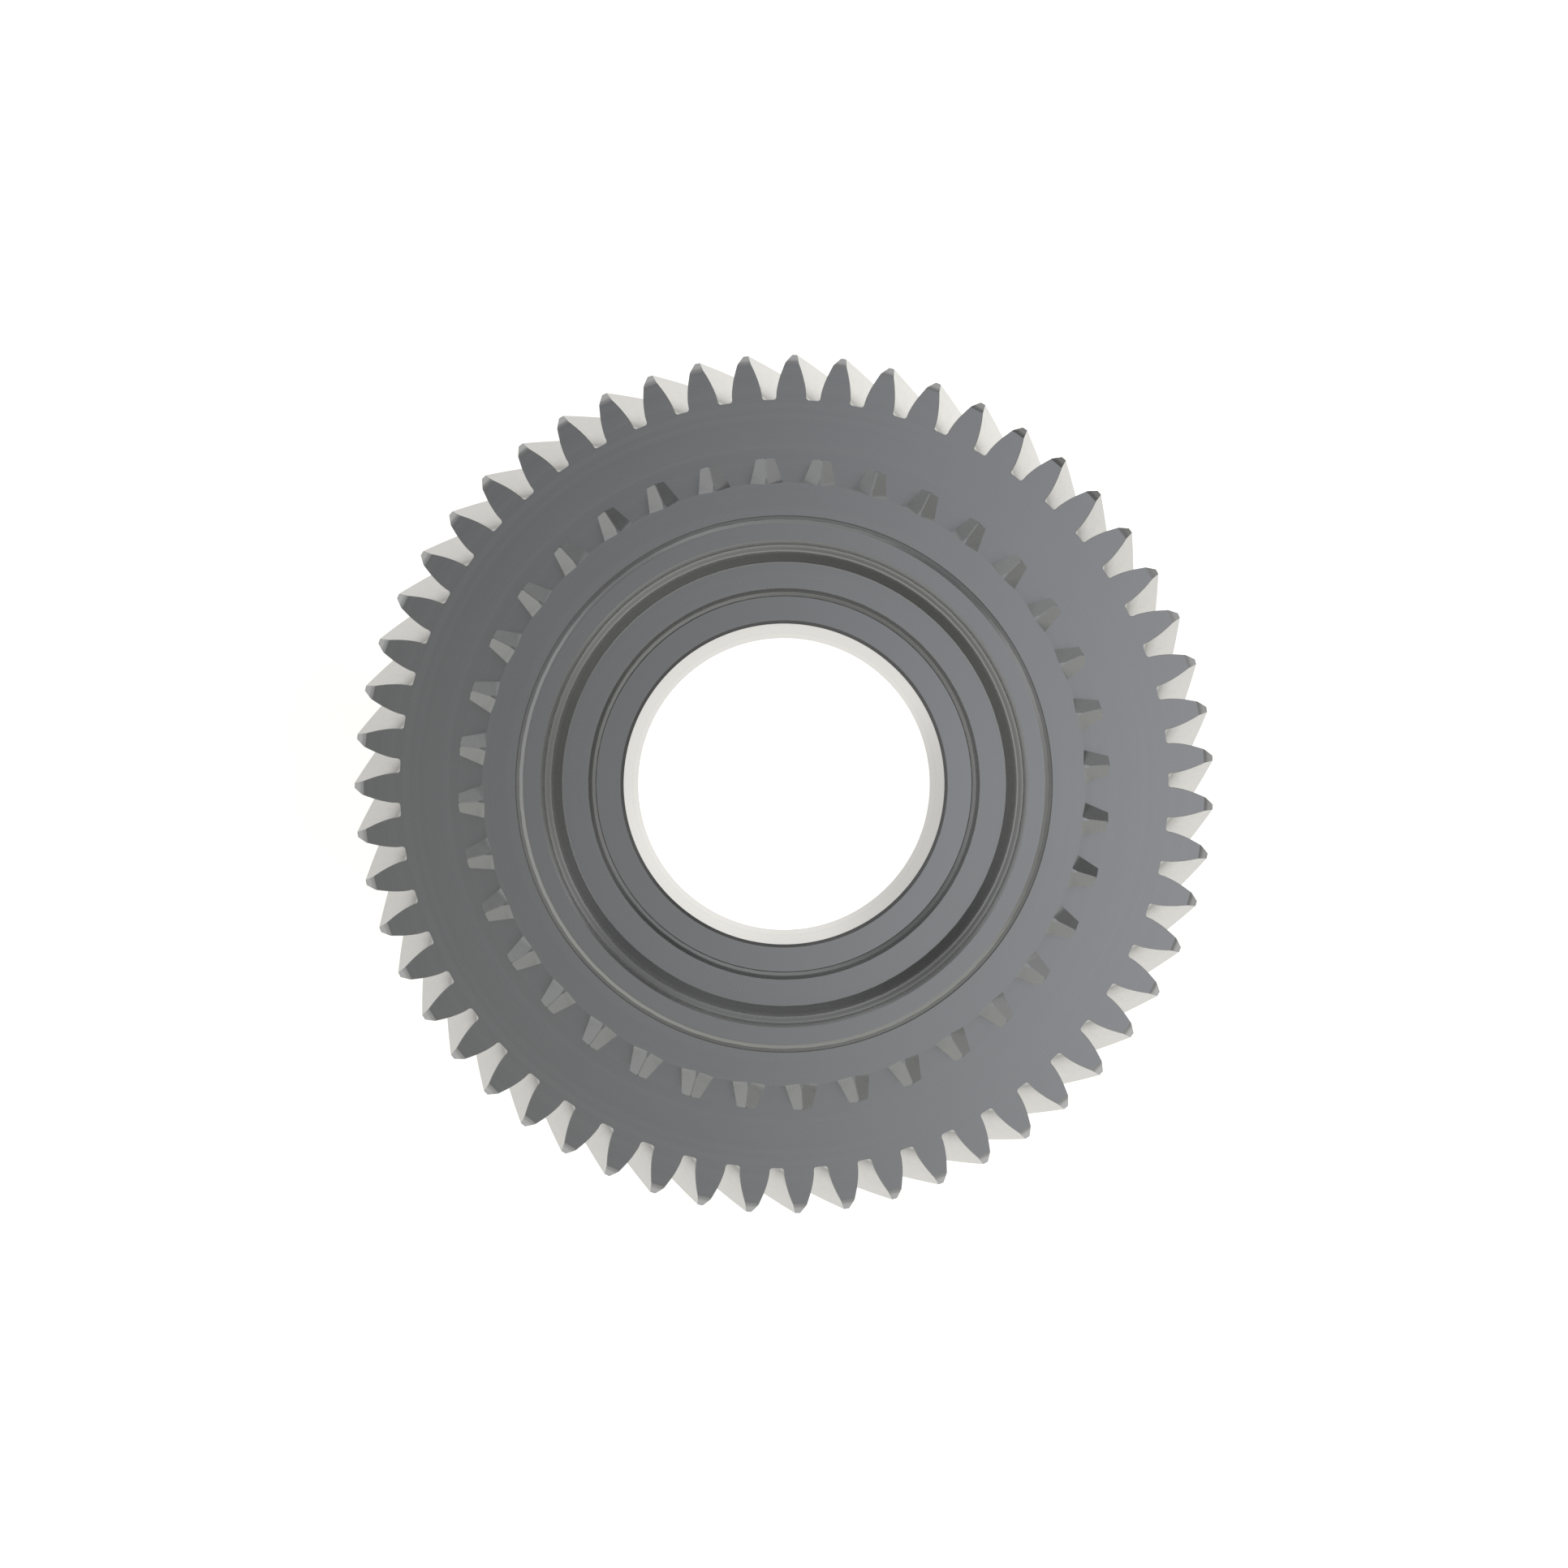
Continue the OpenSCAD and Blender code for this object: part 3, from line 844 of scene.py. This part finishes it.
# Patches in the floor's glow: painted light and painted shade, seen in the metal's reflections.
FAR_FLOOR = (Patch(44, 4, 24, -1.0), Patch(357, 5, 22, -0.36), Patch(316, 5, 30, 0.32),
             Patch(135, 10, 35, 0.12))
NEAR_FLOOR = (Patch(71, 8, 42, 0.38), Patch(132, 10, 40, 0.12))
BORE_FLOOR = (Patch(340, 8, 60, -0.25), Patch(225, 10, 50, 0.08))
LOW_SKY = (Patch(50, 5, 19, -0.64), Patch(76, 5, 42, -0.33), Patch(129, 5, 19, -0.48),
           Patch(160, 5, 30, -0.09), Patch(350, 5, 32, -0.40), Patch(275, 15, 45, -0.08))
MID_SKY = (Patch(44, 5, 22, -0.26), Patch(0, 5, 26, -0.22), Patch(132, 5, 32, -0.55),
           Patch(243, 5, 38, -0.30))
HIGH_SKY = (Patch(130, 5, 50, -0.26), Patch(255, 5, 60, -0.30))

# A level of light that rises by slope towards an azimuth, with patches in it.
Band = namedtuple("Band", "azimuth slope middle patches")

# Levels of the floor's glow, which is painted light.
FLOOR_FAR = Band(260, 0.07, 0.545, FAR_FLOOR)
FLOOR_NEAR = Band(330, 0.12, 1.0, NEAR_FLOOR)
FLOOR_IN_BORE = 1.38
FLOOR_OPEN = 0.97
SKY_UPPER = Band(105, 0.07, 0.56, MID_SKY)
SKY_MID = Band(340, 0.045, 0.21, MID_SKY)
SKY_LOW = Band(205, 0.03, 0.49, LOW_SKY)

# from where to where one level of the floor's painted glow gives way to the next, as radii in metres
BORE_TO_NEAR = (0.045, 0.08)
NEAR_TO_OPEN = (0.125, 0.16)
OPEN_TO_FAR = (0.298, 0.35)

# the same for the sky, as heights on a unit sphere
LOW_BRIGHTENS = (0.26, 0.42)
LOW_TO_MID = (0.44, 0.64)
MID_TO_UPPER = (0.68, 0.79)
UPPER_TO_CEILING = (0.80, 0.97)
OVERHEAD = (0.982, 0.9955)


def patch_share(n, flat, patch):
    """The factor that a patch multiplies a level by."""
    near = towards(n, flat, patch.azimuth, patch.core, patch.edge)
    return n.math("ADD", n.math("MULTIPLY", near, patch.change), 1.0)


def patched(n, level, flat, patches):
    for patch in patches:
        level = n.math("MULTIPLY", level, patch_share(n, flat, patch))
    return level


def banded(n, flat, band):
    return patched(n, tilted(n, flat, band.azimuth, band.slope, band.middle), flat, band.patches)


def floor():
    """A pale floor whose glow is painted light: it shines under and around the part, lighting it and keeping
    its shadow faint, and is dimmer well away from it, with painted brighter and darker patches.
    """
    half = 4.0
    height = -0.0002
    mesh = bpy.data.meshes.new("floor")
    corners = [(-half, -half), (half, -half), (half, half), (-half, half)]
    mesh.from_pydata([(x, y, height) for x, y in corners], [], [(0, 1, 2, 3)])
    obj = bpy.data.objects.new("floor", mesh)
    bpy.context.scene.collection.objects.link(obj)
    material = bpy.data.materials.new("floor")
    material.use_nodes = True
    tree = material.node_tree
    tree.nodes.clear()
    n = Nodes(tree)
    output = n.add("ShaderNodeOutputMaterial")
    place = n.add("ShaderNodeTexCoord").outputs["Object"]
    length = n.add("ShaderNodeVectorMath", operation="LENGTH")
    tree.links.new(place, length.inputs[0])
    r = length.outputs["Value"]
    flat = level_direction(n, place)
    far = banded(n, flat, FLOOR_FAR)
    around = banded(n, flat, FLOOR_NEAR)
    through = patched(n, FLOOR_IN_BORE, flat, BORE_FLOOR)
    near = between(n, n.remap(r, *BORE_TO_NEAR, 0.0, 1.0), through, around)
    open_floor = n.remap(r, *NEAR_TO_OPEN, 0.0, 1.0)
    near = between(n, open_floor, near, FLOOR_OPEN)
    reach = n.remap(r, *OPEN_TO_FAR, 0.0, 1.0)
    # Painted light: the floor's glow, warm near the part and white further out.
    painted_glow = n.add("ShaderNodeEmission")
    warm, white = (1.03, 1.015, 0.975, 1.0), (1.0, 1.0, 1.0, 1.0)
    n.set(painted_glow.inputs["Color"], n.mix(open_floor, warm, white))
    n.set(painted_glow.inputs["Strength"], between(n, reach, near, far))
    pale = n.add("ShaderNodeBsdfDiffuse")
    pale.inputs["Color"].default_value = (0.35, 0.35, 0.345, 1.0)
    both = n.add("ShaderNodeAddShader")
    tree.links.new(painted_glow.outputs[0], both.inputs[0])
    tree.links.new(pale.outputs[0], both.inputs[1])
    tree.links.new(both.outputs[0], output.inputs[0])
    mesh.materials.append(material)


def studio():
    """Soft studio light: an uneven ceiling, brighter towards one side, over bands with dimmer patches."""
    world = bpy.data.worlds.new("studio")
    bpy.context.scene.world = world
    world.use_nodes = True
    tree = world.node_tree
    tree.nodes.clear()
    n = Nodes(tree)
    output = n.add("ShaderNodeOutputWorld")
    background = n.add("ShaderNodeBackground")
    tree.links.new(background.outputs[0], output.inputs[0])
    sky = n.add("ShaderNodeTexCoord").outputs["Generated"]
    apart = n.add("ShaderNodeSeparateXYZ")
    tree.links.new(sky, apart.inputs[0])
    up = apart.outputs[2]
    flat = level_direction(n, sky)

    bright_limit = 0.66
    bright_side, dim_side = tilted(n, sky, 345, 1.38, 0.362), tilted(n, sky, 345, 0.6, 0.35)
    ceiling = n.math("MINIMUM", n.math("MAXIMUM", bright_side, dim_side), bright_limit)
    aside = n.remap(up, *OVERHEAD, 1.0, 0.0)
    ceiling = between(n, aside, ceiling, patched(n, ceiling, flat, HIGH_SKY))
    upper = banded(n, flat, SKY_UPPER)
    mid = banded(n, flat, SKY_MID)
    low = n.math("ADD", banded(n, flat, SKY_LOW), n.remap(up, *LOW_BRIGHTENS, 0.0, 0.12))
    to_ceiling = n.remap(up, *UPPER_TO_CEILING, 0.0, 1.0)
    level = between(n, n.remap(up, *LOW_TO_MID, 0.0, 1.0), low, mid)
    level = between(n, n.remap(up, *MID_TO_UPPER, 0.0, 1.0), level, upper)
    level = between(n, to_ceiling, level, ceiling)
    tree.links.new(level, background.inputs["Strength"])
    cool = n.remap(n.dot(sky, direction(20)), -0.14, 0.10, 0.0, 1.0)
    neutral, blue = (0.99, 1.0, 0.995, 1.0), (0.97, 1.0, 1.065, 1.0)
    overhead_tint = n.mix(cool, neutral, blue)
    pale_side = n.remap(n.dot(flat, direction(100)), -0.7, 0.7, 0.0, 1.0)
    olive, pale = (1.0, 1.005, 0.955, 1.0), (0.99, 1.004, 1.0, 1.0)
    low_tint = n.mix(pale_side, olive, pale)
    n.set(background.inputs["Color"], n.mix(to_ceiling, low_tint, overhead_tint))


def camera():
    data = bpy.data.cameras.new("camera")
    data.sensor_width = 36.0
    field_of_view = math.radians(36)
    data.lens = data.sensor_width / 2 / math.tan(field_of_view / 2)
    distance = 0.5898
    data.clip_start = 0.01
    data.clip_end = 50.0
    obj = bpy.data.objects.new("camera", data)
    obj.location = (0.0, 0.0, RIM_FRONT * MM + distance)
    bpy.context.scene.collection.objects.link(obj)
    bpy.context.scene.camera = obj


# ------------------------------------------------------------------ the scene

camera()

for piece, material in (
        (gear_wheel(), gear_steel()), (clutch_ring(), clutch_steel()), (weld_seam(), weld_steel()),
        (bearing_sleeve(), race_steel()), (thrust_washer(), bronze()), (snap_ring(), spring_steel()),
        (needle_cage(), cage_steel())):
    piece.data.materials.append(material)

needle_material = needle_steel()
for number in range(1, NEEDLE_COUNT + 1):
    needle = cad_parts[f"needle_{number:02d}"]
    needle.data.materials.clear()
    needle.data.materials.append(needle_material)

floor()
studio()
bpy.context.scene.view_settings.view_transform = "Standard"
